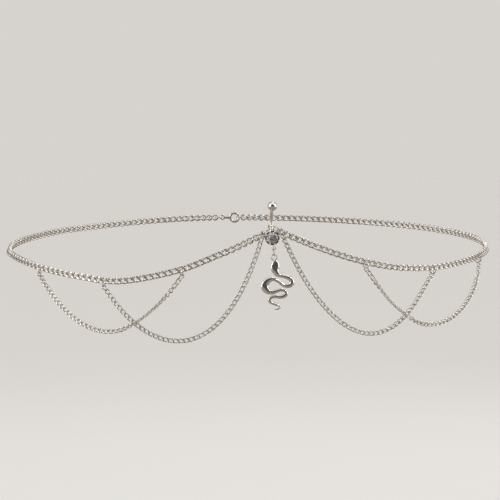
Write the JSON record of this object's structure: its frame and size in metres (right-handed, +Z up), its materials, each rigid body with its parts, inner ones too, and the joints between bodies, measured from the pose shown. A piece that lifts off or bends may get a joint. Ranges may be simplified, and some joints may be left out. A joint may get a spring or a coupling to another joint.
{
  "type": "waist chain",
  "caption": "Silver-tone curb chain worn round the waist, with draped chain swags, a curved navel bar with a round crystal and a hanging snake drop.",
  "frame": {"origin": "middle of the waist loop, level with the crystal at the navel", "axes": "-Y to the front where the crystal is, +Z up along the wearer, +X to the wearer's left"},
  "size_m": [0.277, 0.194, 0.0756],
  "materials": {
    "silver_metal": "polished",
    "crystal": "clear, cut"
  },
  "bodies": {
    "waist_chain": {"navel_bar": "silver_metal", "crystal": "crystal", "front_ring_left": "silver_metal", "front_ring_right": "silver_metal", "chain_left": "silver_metal", "chain_right": "silver_metal", "chain_back_left": "silver_metal", "chain_back_right": "silver_metal", "swag_inner_left": "silver_metal", "swag_inner_right": "silver_metal", "swag_outer_left": "silver_metal", "swag_outer_right": "silver_metal", "hook_ring_left_1": "silver_metal", "hook_ring_left_2": "silver_metal", "hook_ring_left_3": "silver_metal", "hook_ring_right_1": "silver_metal", "hook_ring_right_2": "silver_metal", "hook_ring_right_3": "silver_metal", "clasp": "silver_metal", "clasp_ring": "silver_metal", "end_ring": "silver_metal"},
    "drop_link": {"pendant_link": "silver_metal"},
    "drop_ring": {"pendant_ring": "silver_metal"},
    "snake": {"snake_pendant": "silver_metal"},
    "ball": {"top_ball": "silver_metal"}
  },
  "joints": [
    {"name": "drop_link_swing", "type": "hinge", "parent": "waist_chain", "child": "drop_link", "pos_m": [0.0011, -0.0963, -0.0065], "axis": [1, 0, 0], "range_deg": [-50, 2]},
    {"name": "drop_ring_swing", "type": "hinge", "parent": "drop_link", "child": "drop_ring", "pos_m": [0.0011, -0.0963, -0.00948], "axis": [0, 1, 0], "range_deg": [-20, 20]},
    {"name": "snake_swing", "type": "hinge", "parent": "drop_ring", "child": "snake", "pos_m": [0.0011, -0.0963, -0.01186], "axis": [1, 0, 0], "range_deg": [-50, 2]},
    {"name": "ball_unscrew", "type": "slide", "parent": "waist_chain", "child": "ball", "axis": [0, -0.7071, 0.7071], "range_m": [0, 0.006]}
  ]
}
